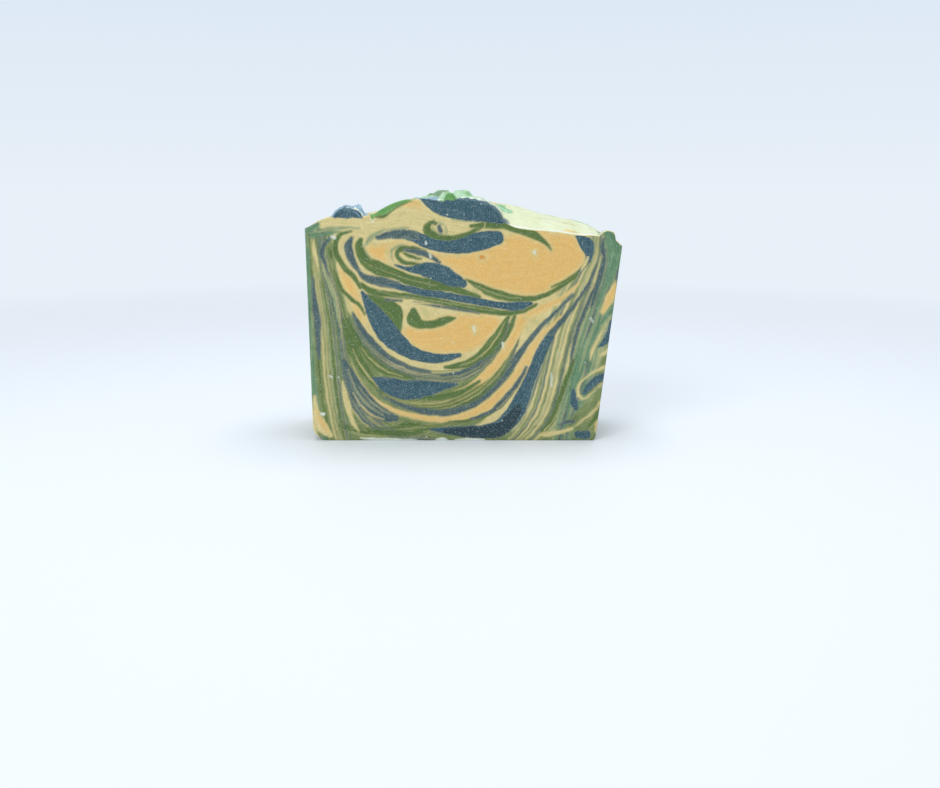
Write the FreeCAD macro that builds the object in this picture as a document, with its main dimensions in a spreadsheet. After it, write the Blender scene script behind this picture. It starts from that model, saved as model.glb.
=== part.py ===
"""A bar of handmade swirl soap: one slice of a poured loaf.

The bar stands on the flat foot that lay on the mould's floor. Its front (-Y) and back (+Y) are the
two flat cuts of the slicer, its left and right sides are the mould's drafted walls, and its top is
the poured surface: a spooned crest, a swept hollow at the right, and mounds of batter dropped on it
that are cut off flush with the front. Millimetres, +Z up, origin under the middle of the bar on its foot.
"""

import FreeCAD, Part
import os
import Sketcher

NODE = "soap_bar"

# Name, size and meaning of each driving dimension. Left and right are as seen from the front.
SIZES = [
    ("slice_thickness", 25.0, "front cut to back cut"),
    ("base_left", 40.0, "middle to the left wall, at the foot"),
    ("base_right", 34.7, "middle to the right wall, at the foot"),
    ("draft_left", 0.35, "degrees that the left wall leans out"),
    ("draft_right", 6.2, "degrees that the right wall leans out"),
    ("corner_left", 4.0, "radius of the mould's left floor corner"),
    ("corner_right", 1.1, "radius of the mould's right floor corner"),
    ("brim_height", 66.0, "foot to the mould's brim, over any poured top"),
    ("pour_height", 55.0, "foot to the level that the relief is counted from"),
    ("relief_reach", 48.0, "middle to the outermost poles of the relief"),
    ("ridge_depth", 14.0, "front cut to the ridge behind the hollow"),
    ("overcut", 2.0, "how far a cutting tool passes the bar"),
    ("curl_tilt", 22.0, "degrees that the curl's right end is lifted"),
]

# Rises of the relief's spline poles over the pour level, evenly spaced from the left to the right.
RISES = {
    "front": [-3, -1.1, 4.0, 3.1, 3.0, 5.3, 8.4, 6.4, 4.8, 4.6, -1.0, -1.0, -1.0, -2.5, -1.0, -5.2, -8],
    "ridge": [-3, -0.6, 2.6, 3.4, 3.9, 6.0, 7.6, 9.0, 8.4, 6.4, 5.9, 4.2, 2.3, 2.0, -0.6, -4.4, -8],
    "back": [-3, -0.2, 2.3, 3.0, 3.4, 4.6, 5.8, 7.0, 7.2, 6.2, 5.0, 3.8, 2.5, 1.0, -0.9, -4.0, -8],
}

# Distance of each relief section behind the middle of the bar.
SECTION_PLACES = {
    "front": "-sizes.slice_thickness / 2 - sizes.overcut",
    "ridge": "sizes.ridge_depth - sizes.slice_thickness / 2",
    "back": "sizes.slice_thickness / 2 + sizes.overcut",
}

# Each mound of batter on the top is part of an ellipsoid: its middle's place across, behind the front
# cut and above the pour level, then its half width, half length from front to back, and rise.
MOUND_WORDS = ("centre", "depth", "level", "width", "length", "rise")
MOUNDS = {
    "dollop": (-29.4, 3.6, 2.9, 4.4, 5.5, 2.95),
    "curl": (-17.9, 0.8, 5.5, 5.2, 1.6, 1.05),
    "heap": (-0.4, 5.0, 2.0, 10.9, 10.5, 6.3),
    "left_frill": (-5.9, 9.0, 7.2, 2.8, 4.4, 2.7),
    "bead": (-3.6, 1.1, 7.4, 1.5, 1.7, 1.85),
    "middle_frill": (-0.4, 8.2, 6.9, 3.1, 4.8, 3.05),
    "lip": (36.3, 1.2, -2.6, 2.3, 4.2, 2.5),
}

SPLINE_DEGREE = 3
ROUND_OFF = 1e-6


def make_sheet(doc):
    """The spreadsheet of driving dimensions: column A says what each one is, column B holds it."""
    sheet = doc.addObject("Spreadsheet::Sheet", "sizes")
    rows = list(SIZES)
    for section, rises in RISES.items():
        for pole, rise in enumerate(rises):
            rows.append((f"{section}_rise_{pole}", rise, f"{section} section's pole {pole}"))
    for mound, numbers in MOUNDS.items():
        for word, number in zip(MOUND_WORDS, numbers):
            rows.append((f"{mound}_{word}", number, f"{word} of the {mound}"))
    for row, (name, size, meaning) in enumerate(rows, start=1):
        sheet.set(f"A{row}", meaning)
        sheet.set(f"B{row}", str(size))
        sheet.setAlias(f"B{row}", name)
    doc.recompute()
    return sheet


def bind(thing, expressions):
    for place, expression in expressions.items():
        thing.setExpression(place, expression)


def on_plane(thing, body, role):
    """Attaches a sketch or primitive to one of its own body's origin planes."""
    plane = next(feature for feature in body.Origin.OriginFeatures if feature.Role == role)
    thing.AttachmentSupport = [(plane, "")]
    thing.MapMode = "FlatFace"
    return thing


def new_sketch(body, name, role, offset="0"):
    """A sketch on an origin plane, moved along the plane's normal by an expression."""
    sketch = on_plane(body.newObject("Sketcher::SketchObject", name), body, role)
    bind(sketch, {"AttachmentOffset.Base.z": offset})
    return sketch


def tie(sketch, name, geometry, point, across, up):
    """Ties a point of a sketch to the sheet, by its distances across and up from the origin."""
    for kind, way, expression in (("DistanceX", "across", across), ("DistanceY", "up", up)):
        index = sketch.addConstraint(Sketcher.Constraint(kind, -1, 1, geometry, point, 1.0))
        sketch.renameConstraint(index, f"{name}_{way}")
        sketch.setExpression(f"Constraints.{name}_{way}", expression)


def add_spline(sketch, poles):
    """A clamped B-spline whose poles sit where the sheet puts them.

    Each pole is a pair of expressions, across and up. Returns the curve's index in the sketch.
    """
    flat = [FreeCAD.Vector(index, index % 2, 0) for index in range(len(poles))]
    curve = Part.BSplineCurve()
    curve.buildFromPoles(flat, False, SPLINE_DEGREE)
    spline = sketch.addGeometry(curve)
    handles = []
    for index, (across, up) in enumerate(poles):
        circle = Part.Circle(flat[index], FreeCAD.Vector(0, 0, 1), 1)
        handle = sketch.addGeometry(circle, True)
        role = "InternalAlignment:Sketcher::BSplineControlPoint"
        sketch.addConstraint(Sketcher.Constraint(role, handle, 3, spline, index))
        if handles:
            sketch.addConstraint(Sketcher.Constraint("Equal", handles[0], handle))
        else:
            sketch.addConstraint(Sketcher.Constraint("Weight", handle, 1.0))
        handles.append(handle)
        tie(sketch, f"pole_{index}", handle, 3, across, up)
    return spline


def loaf(body):
    """The slice as the mould shapes it: flat foot, two leaning walls and rounded floor corners."""
    sketch = new_sketch(body, "mould_section", "XZ_Plane")
    corners = [
        ("-sizes.base_left", "0"),
        ("sizes.base_right", "0"),
        ("sizes.base_right + sizes.brim_height * tan(sizes.draft_right)", "sizes.brim_height"),
        ("-sizes.base_left - sizes.brim_height * tan(sizes.draft_left)", "sizes.brim_height"),
    ]
    rough = [FreeCAD.Vector(*place) for place in ((-40, 0, 0), (35, 0, 0), (42, 68, 0), (-40, 68, 0))]
    lines = [
        sketch.addGeometry(Part.LineSegment(rough[side], rough[(side + 1) % len(rough)]))
        for side in range(len(rough))
    ]
    for side, line in enumerate(lines):
        next_line = lines[(side + 1) % len(lines)]
        sketch.addConstraint(Sketcher.Constraint("Coincident", line, 2, next_line, 1))
    for side, (across, up) in enumerate(corners):
        tie(sketch, f"corner_{side}", lines[side], 1, across, up)
    pad = body.newObject("PartDesign::Pad", "loaf")
    pad.Profile = sketch
    pad.SideType = "Symmetric"
    bind(pad, {"Length": "sizes.slice_thickness"})


def floor_corners(doc, body):
    """Rounds the two long edges where the mould's walls meet its floor."""
    doc.recompute()
    for name, on_this_side in (("corner_left", lambda x: x < 0), ("corner_right", lambda x: x > 0)):
        base = body.Tip
        edges = [
            f"Edge{number}"
            for number, edge in enumerate(base.Shape.Edges, start=1)
            if edge.BoundBox.ZMax < ROUND_OFF
            and edge.BoundBox.XLength < ROUND_OFF
            and on_this_side(edge.BoundBox.XMin)
        ]
        fillet = body.newObject("PartDesign::Fillet", name)
        fillet.Base = (base, edges)
        bind(fillet, {"Radius": f"sizes.{name}"})
        doc.recompute()


def relief_section(body, name):
    """One section of the air over the bar: the poured surface below, and a flat roof above."""
    sketch = new_sketch(body, f"{name}_section", "XZ_Plane", f"-({SECTION_PLACES[name]})")
    last = len(RISES[name]) - 1
    poles = [
        (
            f"sizes.relief_reach * (2 * {pole} / {last} - 1)",
            f"sizes.pour_height + sizes.{name}_rise_{pole}",
        )
        for pole in range(last + 1)
    ]
    surface = add_spline(sketch, poles)
    roof = "sizes.brim_height + sizes.overcut"
    start, end = FreeCAD.Vector(0, 0, 0), FreeCAD.Vector(last, 0, 0)
    roof_start, roof_end = FreeCAD.Vector(0, 9, 0), FreeCAD.Vector(last, 9, 0)
    right = sketch.addGeometry(Part.LineSegment(end, roof_end))
    top = sketch.addGeometry(Part.LineSegment(roof_end, roof_start))
    left = sketch.addGeometry(Part.LineSegment(roof_start, start))
    for first, second in ((surface, right), (right, top), (top, left), (left, surface)):
        sketch.addConstraint(Sketcher.Constraint("Coincident", first, 2, second, 1))
    tie(sketch, "roof_right", top, 1, "sizes.relief_reach", roof)
    tie(sketch, "roof_left", top, 2, "-sizes.relief_reach", roof)
    return sketch


def poured_top(body):
    """Takes away the air over the poured surface, lofted through its three sections."""
    sections = [relief_section(body, name) for name in RISES]
    loft = body.newObject("PartDesign::SubtractiveLoft", "poured_top")
    loft.Profile = sections[0]
    loft.Sections = [(section, [""]) for section in sections[1:]]


def mound(body, name):
    """A mound of batter: an ellipsoid half sunk in the top, its sizes under its own name."""
    ellipsoid = on_plane(body.newObject("PartDesign::AdditiveEllipsoid", name), body, "XY_Plane")
    bind(
        ellipsoid,
        {
            "Radius1": f"sizes.{name}_rise",
            "Radius2": f"sizes.{name}_width",
            "Radius3": f"sizes.{name}_length",
            "AttachmentOffset.Base.x": f"sizes.{name}_centre",
            "AttachmentOffset.Base.y": f"sizes.{name}_depth - sizes.slice_thickness / 2",
            "AttachmentOffset.Base.z": f"sizes.pour_height + sizes.{name}_level",
        },
    )
    return ellipsoid


def tilt(thing, expression):
    """Turns a mound about its own middle, so that its right end is lifted."""
    towards_the_front = FreeCAD.Vector(0, -1, 0)
    turn = FreeCAD.Rotation(towards_the_front, 1)
    thing.AttachmentOffset = FreeCAD.Placement(thing.AttachmentOffset.Base, turn)
    bind(thing, {"AttachmentOffset.Rotation.Angle": expression})


def front_cut(body):
    """Cuts off, flush with the front of the slice, all that stands out over it."""
    box = on_plane(body.newObject("PartDesign::SubtractiveBox", "front_cut"), body, "XY_Plane")
    bind(
        box,
        {
            "Length": "2 * sizes.relief_reach",
            "Width": "sizes.heap_length",
            "Height": "sizes.brim_height",
            "AttachmentOffset.Base.x": "-sizes.relief_reach",
            "AttachmentOffset.Base.y": "-sizes.slice_thickness / 2 - sizes.heap_length",
            "AttachmentOffset.Base.z": "sizes.overcut",
        },
    )


def check(doc):
    """Stops on a failed object: a recompute can leave one behind without raising."""
    for thing in doc.Objects:
        if "Invalid" in thing.State or "Error" in thing.State:
            raise RuntimeError(f"{thing.Name} failed: {thing.State}")


def main():
    doc = FreeCAD.newDocument("swirl_soap")
    make_sheet(doc)
    body = doc.addObject("PartDesign::Body", NODE)
    body.Label = NODE
    loaf(body)
    floor_corners(doc, body)
    poured_top(body)
    mounds = {name: mound(body, name) for name in MOUNDS}
    tilt(mounds["curl"], "sizes.curl_tilt")
    front_cut(body)
    doc.recompute()
    check(doc)
    shape = body.Shape
    if shape.isNull() or not shape.isValid() or len(shape.Solids) != 1:
        raise RuntimeError(f"{NODE} is not one valid solid")
    os.makedirs("parts", exist_ok=True)
    shape.exportStep(f"parts/{body.Label}.step")
    box = shape.optimalBoundingBox()
    print(f"{NODE}: {shape.Volume / 1000:.2f} cm3, {len(shape.Faces)} faces")
    for axis in "XYZ":
        print(f"{axis} {getattr(box, axis + 'Min'):.2f} to {getattr(box, axis + 'Max'):.2f}")


main()
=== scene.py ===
from math import radians

import bpy
import numpy as np
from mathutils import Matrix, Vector, noise
from mathutils.bvhtree import BVHTree


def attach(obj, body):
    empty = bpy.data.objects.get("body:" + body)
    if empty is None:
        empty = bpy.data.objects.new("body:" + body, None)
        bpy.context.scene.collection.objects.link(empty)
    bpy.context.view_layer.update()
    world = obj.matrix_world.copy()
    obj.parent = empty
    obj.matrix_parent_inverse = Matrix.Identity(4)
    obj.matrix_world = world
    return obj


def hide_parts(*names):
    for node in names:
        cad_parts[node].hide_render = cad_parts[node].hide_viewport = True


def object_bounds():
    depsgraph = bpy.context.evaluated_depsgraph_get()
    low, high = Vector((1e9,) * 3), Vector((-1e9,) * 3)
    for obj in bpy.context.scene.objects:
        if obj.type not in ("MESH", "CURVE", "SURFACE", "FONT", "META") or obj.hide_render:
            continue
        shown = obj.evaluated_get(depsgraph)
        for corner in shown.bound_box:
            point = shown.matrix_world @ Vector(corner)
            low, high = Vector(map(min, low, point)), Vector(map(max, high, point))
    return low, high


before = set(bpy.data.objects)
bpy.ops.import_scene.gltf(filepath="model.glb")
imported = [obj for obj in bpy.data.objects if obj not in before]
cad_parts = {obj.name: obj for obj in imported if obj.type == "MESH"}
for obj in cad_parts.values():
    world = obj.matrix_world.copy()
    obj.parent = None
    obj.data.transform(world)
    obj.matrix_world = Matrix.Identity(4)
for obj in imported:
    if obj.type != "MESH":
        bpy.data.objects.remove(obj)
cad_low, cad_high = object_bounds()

# Everything below is in the bar's own frame, as seen from its front cut, and in millimetres until the
# mesh is made.
MM = 0.001
NODE = "soap_bar"
FRONT, BACK = cad_low.y / MM, cad_high.y / MM

# The swirl on the front cut, in millimetres: across from the middle of the bar, and up from its foot.
# Each stroke of batter is a line of (across, up, half width), laid over what comes before it.
GROUND = [
    ("moss", [(-37.5, 55, 4), (-37, 45, 4.5), (-36, 35, 5.5), (-35, 25, 6.5), (-34, 15, 6.5), (-32, 4, 7)]),
    ("moss", [(-31, 35, 0.6), (-28.5, 27, 2.8), (-25, 19, 5), (-20, 13, 6.8), (-12, 9.5, 8), (-3, 10, 8),
              (4, 14, 6.6), (8.5, 19, 4.6), (11, 24, 2.2), (12.5, 28, 0.6)]),
    ("sage", [(35, 53, 3.6), (34, 45, 4.6), (32, 36, 7), (30, 27, 8.6), (28.5, 16, 9.6), (27, 4, 10.5)]),
    ("moss", [(-34, 1, 3), (-20, 2, 3.2), (-5, 1, 2), (10, 0, 2), (20, 1, 3)]),
    ("moss", [(27, -2, 5), (33, 4, 5.5), (37, 14, 4), (39, 24, 2.5)]),
]

# Bundles of thin streaks: a line as above, and across it from its right-hand side (-1) to its
# left-hand side (1), the place where each streak ends and its pigment.
BUNDLES = [
    # Down the left wall.
    ([(-38.4, 56, 1.9), (-38.3, 50, 2.0), (-37.9, 44, 2.5), (-37.1, 37, 3.3), (-36.5, 30, 3.9),
      (-36.1, 22, 4.2), (-35.7, 14, 4.3), (-34.6, 6, 4.0), (-33, -2, 3.4)],
     [(-0.7, "leaf"), (-0.5, "moss"), (-0.34, "olive"), (-0.2, "moss"), (-0.02, "cream"), (0.06, "moss"),
      (0.18, "cream"), (0.26, "moss"), (0.42, "sage"), (0.54, "olive"), (0.68, "sage"), (0.74, "slate"),
      (0.86, "sage"), (0.92, "olive"), (1.0, "leaf")]),
    # From the left shoulder down to the foot.
    ([(-35.6, 54, 0.9), (-35.5, 48, 1.3), (-33.9, 42, 1.7), (-32.4, 36.5, 1.8), (-31.5, 31, 1.7),
      (-31.1, 25, 1.4), (-30.4, 19.5, 1.8), (-28.6, 13, 2.6), (-26, 8, 2.8), (-22, 4.2, 2.3),
      (-16, 1.6, 1.6), (-8, 0.4, 0.8)],
     [(-0.82, "cream"), (-0.6, "slate"), (-0.5, "sage"), (-0.3, "slate"), (-0.2, "cream"),
      (-0.06, "moss"), (0.04, "cream"), (0.2, "slate"), (0.38, "moss"), (0.46, "cream"), (0.66, "olive"),
      (0.74, "sage"), (0.88, "moss"), (1.0, "sage")]),
    # Round the bottom, under the crescent.
    ([(-28.6, 33.5, 0.4), (-25.8, 27.5, 1.5), (-21.8, 22.9, 1.9), (-16.5, 19.4, 2.0), (-10.5, 17.7, 1.6),
      (-4, 17.4, 1.7), (1, 18.7, 1.7), (5, 21.4, 1.5), (8.6, 25.6, 1.0), (11.5, 31, 0.3)],
     [(-0.86, "slate"), (-0.62, "cream"), (-0.46, "slate"), (-0.36, "olive"), (-0.16, "cream"),
      (0.0, "slate"), (0.2, "cream"), (0.34, "slate"), (0.44, "olive"), (0.74, "cream"), (0.82, "olive"),
      (1.0, "cream")]),
    # Round the bottom, under the lens.
    ([(-22.5, 13.8, 0.5), (-19, 11.2, 1.1), (-13, 9.6, 1.7), (-6, 9.9, 2.2), (0, 12.2, 2.7),
      (5, 15.6, 2.5), (9.3, 20.4, 1.9), (12.6, 26, 1.3), (14.5, 32, 0.4)],
     [(-0.84, "slate"), (-0.66, "olive"), (-0.48, "cream"), (-0.3, "olive"), (-0.1, "honey"),
      (0.04, "olive"), (0.16, "cream"), (0.3, "honey"), (0.42, "moss"), (0.56, "cream"), (0.68, "olive"),
      (0.8, "honey"), (1.0, "olive")]),
    # Along the foot.
    ([(-33, 4, 0.6), (-28, 2.6, 1.2), (-21, 2.2, 1.8), (-13, 2.9, 1.8), (-8, 3.6, 0.9), (-4, 4.6, 0.4)],
     [(-0.6, "moss"), (-0.42, "cream"), (0.1, "olive"), (0.3, "moss"), (0.44, "cream"), (0.74, "olive"),
      (1.0, "moss")]),
    # From the right shoulder down to the foot.
    ([(33.8, 56, 1.6), (33.6, 50, 2.2), (31.8, 44.5, 3.2), (29, 38, 4.2), (26.2, 30.5, 4.6),
      (24.2, 22, 4.4), (22.6, 14, 4.4), (20.4, 7, 4.2), (16.5, 1.5, 3.4), (11, -3, 2)],
     [(-0.9, "sage"), (-0.7, "cream"), (-0.64, "moss"), (-0.5, "sage"), (-0.44, "slate"), (-0.2, "cream"),
      (-0.12, "moss"), (0.04, "cream"), (0.1, "sage"), (0.32, "cream"), (0.44, "moss"), (0.5, "slate"),
      (0.6, "sage"), (0.84, "cream"), (0.9, "olive"), (1.0, "cream")]),
    # Down the right wall.
    ([(37, 56, 2.0), (37.4, 49, 2.4), (36.4, 42, 2.2), (34.4, 35, 2.4), (32.2, 27, 3.0), (30.4, 19, 3.2),
      (28.4, 11, 3.0), (26.6, 5, 2.6), (25.4, -2, 2.4)],
     [(-0.7, "sage"), (-0.5, "leaf"), (-0.3, "sage"), (-0.1, "slate"), (0.16, "leaf"), (0.4, "sage"),
      (0.5, "slate"), (0.76, "leaf"), (0.88, "cream"), (1.0, "leaf")]),
]

STROKES = [
    # Fields of plain batter.
    ("cream", [(-38, 57, 1.6), (-30, 57, 2.4), (-22, 56.5, 3.0), (-13, 58.5, 4.6), (-4, 56.5, 3.4),
               (2, 55.5, 2)]),
    ("cream", [(-26, 48.5, 3), (-17, 49, 5), (-8, 47.5, 4.5)]),
    ("honey", [(-9, 48.9, 0.4), (-4, 47.3, 1.5), (1, 46, 3.4), (7, 45.5, 6.1), (14, 46, 8.4),
               (20.5, 47, 8.4), (24.5, 48, 6.4)]),
    ("honey", [(-13.5, 27.3, 3.4), (-6, 28.1, 4.9), (1, 28.8, 5.0), (7, 31.3, 2.4)]),
    ("honey", [(-23.4, 50, 1.4), (-20.6, 49.2, 2.5), (-16, 50.6, 1.6), (-12, 51, 0.8)]),
    ("honey", [(-31.5, 47, 0.4), (-30.6, 43.5, 1.3), (-29.1, 40.3, 1.7), (-27.6, 36.5, 1.3),
               (-26.7, 33, 1.0), (-24.9, 29.7, 0.8), (-21.8, 25.9, 0.7), (-17.5, 23, 0.6)]),
    ("cream", [(-25.6, 31, 0.5), (-22.2, 26.6, 0.8), (-17.6, 23, 0.9), (-12.3, 20.9, 0.8),
               (-6, 20.2, 0.6), (-1, 21, 0.3)]),
    ("honey", [(16.5, 34.5, 1.0), (14.2, 31, 1.7), (12.2, 26.6, 1.6), (9.2, 21.6, 1.5), (5.6, 17.6, 1.5),
               (1.5, 14.6, 0.9), (-2.5, 13.2, 0.4)]),
    ("honey", [(-29.5, 21, 0.2), (-27.2, 15.8, 0.5), (-24.7, 12.3, 0.6), (-21, 9.3, 0.75),
               (-16.5, 7.4, 0.8), (-11, 6.2, 0.95), (-5, 5.9, 1.0), (1, 7.0, 1.3), (6, 9.4, 1.5),
               (10.6, 13.4, 1.7), (14.4, 18.2, 1.6), (17.2, 23.8, 1.2), (20.5, 28.6, 0.8), (25, 33, 0.5)]),
    ("honey", [(17, 33.6, 1.2), (21, 35.5, 1.2), (25.5, 38, 0.8), (29.5, 41.6, 0.5)]),
    ("honey", [(-14, 61.5, 1.2), (-12.2, 61.7, 1.0), (-11, 60.3, 0.5)]),
    ("cream", [(-39.3, 12, 0.5), (-38.7, 7, 1.2), (-37.4, 3.6, 1.7), (-35.5, 1.6, 0.9)]),
    ("honey", [(-38.8, 8, 0.3), (-38, 5.5, 0.8), (-37, 3.8, 0.8), (-36, 2.6, 0.3)]),
    ("cream", [(-31.8, 16, 0.5), (-31, 11, 1.0), (-29.8, 6, 0.8), (-28, 2.5, 0.4)]),
    # The left shoulder.
    ("leaf", [(-39.9, 55.2, 1.0), (-38.3, 55.2, 1.3), (-36.9, 56.4, 0.4)]),
    ("leaf", [(-40.5, 50, 1.2), (-40.6, 42, 1.5), (-40.5, 32, 1.0), (-40.5, 22, 0.8)]),
    ("sage", [(-37.5, 54.6, 0.7), (-34, 55.2, 0.45), (-30, 55.6, 0.3), (-26.5, 55.4, 0.15)]),
    ("leaf", [(-38.6, 53.6, 0.6), (-35, 54.1, 0.4), (-31.5, 54.7, 0.2)]),
    ("cream", [(-38, 52.5, 0.4), (-37.9, 49.5, 0.7), (-37.3, 46, 0.5), (-36.6, 42.5, 0.2)]),
    ("sage", [(-35.8, 51, 0.8), (-35.4, 46, 1.1), (-34.2, 41, 0.9), (-33, 36, 0.6), (-32.2, 30, 0.3)]),
    ("slate", [(-33.6, 53.3, 0.2), (-35.3, 51.7, 0.5), (-36.1, 49.2, 0.6), (-35.4, 46.3, 0.35),
               (-34.2, 43, 0.2), (-32.3, 38.5, 0.15)]),
    ("olive", [(-34.3, 50.6, 0.2), (-34, 49.2, 0.5), (-33.6, 47.8, 0.2)]),
    ("cream", [(-33.1, 52, 0.4), (-33, 49, 0.3), (-31.8, 46, 0.2)]),
    ("slate", [(-38.7, 43, 0.2), (-38.5, 38, 0.6), (-38, 33, 0.9), (-37.8, 28, 0.7), (-37.9, 22, 0.3)]),
    ("cream", [(-34.9, 47, 0.12), (-33.7, 42, 0.2), (-32.5, 37, 0.3), (-31.9, 31, 0.3), (-31.7, 25, 0.15)]),
    ("olive", [(-28.5, 54.6, 0.15), (-31.3, 53.9, 0.45), (-32.7, 51.2, 0.65), (-32.2, 48.3, 0.65),
               (-30.3, 45.4, 0.6), (-28, 43, 0.55), (-26.6, 40.5, 0.4)]),
    ("cream", [(-30.3, 53.3, 0.3), (-31.1, 51, 0.45), (-30.6, 48, 0.4), (-28.6, 45.2, 0.25)]),
    ("slate", [(-28.6, 53, 0.4), (-29.4, 51, 0.95), (-28.8, 48, 0.9), (-27.4, 45.4, 0.6),
               (-25.4, 43.2, 0.4)]),
    ("cream", [(-27.8, 53.4, 0.2), (-27.9, 50, 0.25), (-26.6, 46.6, 0.3), (-23.5, 44.2, 0.5),
               (-20.5, 43.4, 0.2)]),
    ("olive", [(-33, 45, 0.15), (-32.2, 42, 0.35), (-31.2, 39.8, 0.45), (-29, 37.6, 0.4), (-27, 36, 0.35),
               (-25.6, 33.6, 0.2)]),
    # The long bands across the upper half.
    ("olive", [(-26.2, 52.6, 0.5), (-26.8, 50.6, 0.95), (-25.2, 47.4, 1.3), (-21.5, 45.2, 1.7),
               (-17.3, 43.9, 1.2), (-14, 42.4, 1.3), (-9, 41.3, 1.4), (-4, 40.4, 0.9), (0, 39.3, 0.7),
               (4, 38, 0.4)]),
    ("sage", [(-25.8, 51.4, 0.15), (-24.9, 49.3, 0.2), (-23.5, 47.4, 0.12)]),
    ("slate", [(-27.2, 44.9, 0.3), (-25, 42.9, 0.8), (-21.5, 42, 1.2), (-17, 41, 1.0)]),
    ("blue", [(-20, 41.3, 0.3), (-15.5, 40.4, 0.8), (-11, 39.3, 0.8), (-6, 38.6, 0.9), (-1, 37.7, 0.9),
              (4, 36.8, 0.85), (9, 35.9, 0.85), (13.5, 35.6, 1.1), (17.2, 36.4, 0.4)]),
    ("olive", [(-26.3, 41.3, 0.4), (-24, 39.6, 0.8), (-19, 38.7, 0.7), (-13, 38.1, 0.6), (-7, 37, 0.7),
               (-1, 35.7, 0.75), (5, 34.7, 0.8), (10, 33.9, 0.6), (15, 34.3, 0.45), (18.5, 36.2, 0.3)]),
    ("slate", [(-13, 36.8, 0.12), (-7, 35.7, 0.3), (0, 34.6, 0.25), (4, 33.8, 0.12)]),
    ("olive", [(0.5, 42.6, 0.15), (4, 40.7, 0.7), (8, 38.9, 1.1), (12.5, 37.8, 0.95), (17, 37.6, 0.6),
               (21, 38.6, 0.5), (25, 40.9, 0.5), (28.5, 43.6, 0.4), (31, 46.5, 0.25)]),
    ("olive", [(22.5, 40.6, 0.15), (26, 42.2, 0.3), (29.3, 44.8, 0.2)]),
    # The lens and the eyes over it.
    ("blue", [(-17.6, 46.2, 0.2), (-14, 45.1, 0.6), (-10.5, 45.1, 1.6), (-7, 44.4, 2.2),
              (-3.5, 42.9, 1.9), (-0.4, 41.5, 1.1)]),
    ("cream", [(-19.4, 47.2, 0.2), (-19, 50.4, 0.25), (-15.5, 51.7, 0.25), (-11, 51.2, 0.2)]),
    ("sage", [(-18.2, 47.4, 0.15), (-18.2, 50, 0.25), (-15.3, 51, 0.25), (-11, 50.2, 0.15)]),
    ("olive", [(-9.8, 49.7, 0.2), (-13.2, 50.4, 0.55), (-16.2, 50, 0.6), (-17, 48.5, 0.45),
               (-15.3, 46.9, 0.5), (-11.5, 46.5, 0.3)]),
    ("olive", [(-15.6, 49.3, 0.2), (-13.7, 48.4, 0.4), (-11, 47.8, 0.15)]),
    ("slate", [(-15, 50, 0.3), (-12, 49.5, 0.65), (-9, 48.6, 0.6), (-6.3, 46.9, 0.3)]),
    ("blue", [(-22, 53.1, 0.4), (-18, 53.9, 0.95), (-13.5, 53.7, 1.25), (-9.5, 52, 1.5), (-5, 50.9, 1.5),
              (0, 51.2, 2.0), (4.5, 52.3, 2.3), (8.3, 53.1, 1.75)]),
    ("slate", [(-22, 53.1, 0.4), (-18, 53.9, 0.9), (-13.5, 53.8, 1.15), (-11.5, 53, 0.5)]),
    ("sage", [(-24.9, 51.4, 0.3), (-23.4, 53.2, 0.6), (-20.5, 54.9, 0.25), (-14, 55.6, 0.15)]),
    # The eye under the heap, and the band right of it.
    ("olive", [(-7.6, 57.3, 0.2), (-9.2, 56.2, 0.7), (-9, 54.4, 1.0), (-6, 53.1, 0.7), (-2, 53.1, 0.55),
               (2, 54.5, 0.5), (4, 55.6, 0.4)]),
    ("olive", [(-8.7, 57, 0.3), (-7.3, 56.6, 0.4)]),
    ("sage", [(-8, 55.6, 0.15), (-6.4, 54, 0.2), (-4.6, 54.2, 0.2), (-4.9, 56, 0.15), (-6.6, 56.9, 0.12)]),
    ("slate", [(-6.3, 55.9, 0.4), (-6.0, 54.9, 0.55)]),
    ("sage", [(-3, 57.6, 0.2), (2, 57.4, 0.3), (7, 57.2, 0.3), (10, 56.8, 0.15)]),
    ("olive", [(1.8, 56, 0.4), (6, 56.2, 0.8), (10, 56.2, 0.9), (14, 55.1, 1.0), (18, 53.6, 0.85),
               (20.5, 52, 0.5), (22, 50, 0.1)]),
    ("cream", [(5.3, 56.9, 0.15), (5, 55.4, 0.2), (3.6, 54.9, 0.15)]),
    # What hangs in the middle.
    ("olive", [(-24.8, 38.3, 0.4), (-21.5, 36.3, 1.8), (-18.4, 34.2, 2.5), (-17.2, 31.5, 1.3),
               (-16.8, 29, 0.3)]),
    ("cream", [(-17.6, 36.7, 0.3), (-14.6, 36, 0.9), (-11.6, 36.4, 0.4), (-8.5, 36.2, 0.15)]),
    ("slate", [(-20.2, 37.3, 0.3), (-16, 37.1, 0.25)]),
    ("olive", [(-13, 34.4, 0.8), (-12.9, 32.2, 1.8), (-11.2, 31, 1.1), (-8, 31, 0.95), (-5, 32, 0.95),
               (-2.3, 32.6, 0.2)]),
    ("olive", [(11.5, 33, 0.3), (10, 29.9, 1.1), (7.4, 25.8, 1.5), (4, 22.4, 1.2), (0, 20.4, 0.9),
               (-5, 19.7, 0.35)]),
    ("olive", [(13, 33.3, 0.3), (12.2, 30.6, 0.55), (10.6, 27.2, 0.35), (7.7, 23.4, 0.3),
               (3.5, 20.4, 0.25)]),
    ("blue", [(-26.2, 39.3, 0.3), (-24.3, 35.8, 1.4), (-21.4, 31, 2.6), (-18, 26.8, 2.5),
              (-13, 23.3, 1.6), (-7, 22, 1.2), (-1.2, 22.9, 0.5)]),
    # The bands round the bottom, from the inner to the outer ones.
    ("slate", [(-28.8, 34, 0.2), (-27, 30.6, 0.6), (-24, 26.5, 0.8), (-20, 22.6, 0.7), (-15, 19.9, 0.45),
               (-9, 18.5, 0.35)]),
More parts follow.
